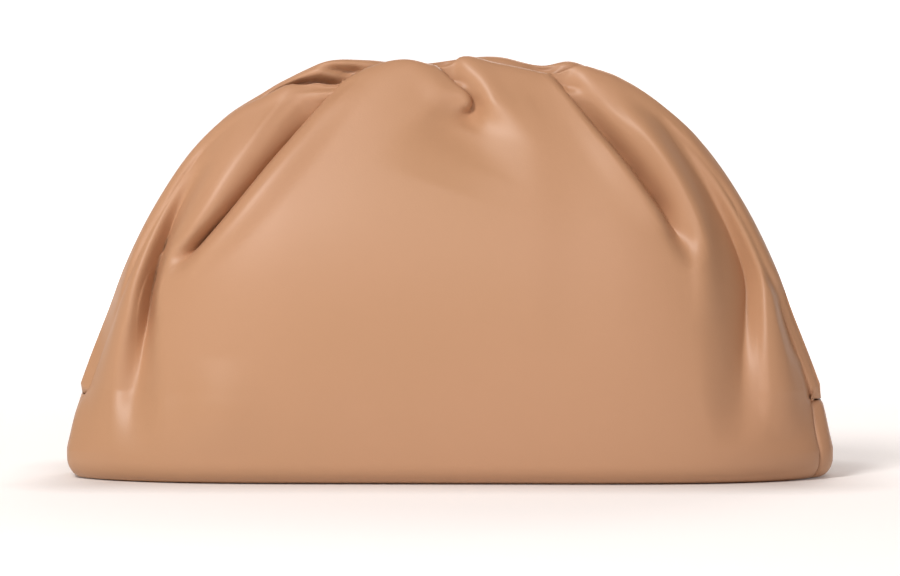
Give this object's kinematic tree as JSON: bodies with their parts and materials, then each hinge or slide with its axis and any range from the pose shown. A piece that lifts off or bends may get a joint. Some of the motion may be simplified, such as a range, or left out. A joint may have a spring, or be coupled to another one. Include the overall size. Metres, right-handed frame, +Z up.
{
  "type": "cloud pouch bag",
  "caption": "Soft leather clutch, half-moon from the front, gathered over a hidden frame at the mouth, with deep folds and a flat base.",
  "frame": {"origin": "middle of the base, on the surface that the bag stands on", "axes": "+Z up, +X to the right seen from the front, the front faces -Y"},
  "size_m": [0.38, 0.116, 0.2076],
  "materials": {
    "leather": "smooth satin calf leather, warm tan",
    "steel": "plain steel rod, hidden in the hems"
  },
  "bodies": {
    "root": {"front_panel": "leather", "back_panel": "leather", "left_gusset": "leather", "right_gusset": "leather", "hidden_frame": "steel"}
  },
  "joints": []
}
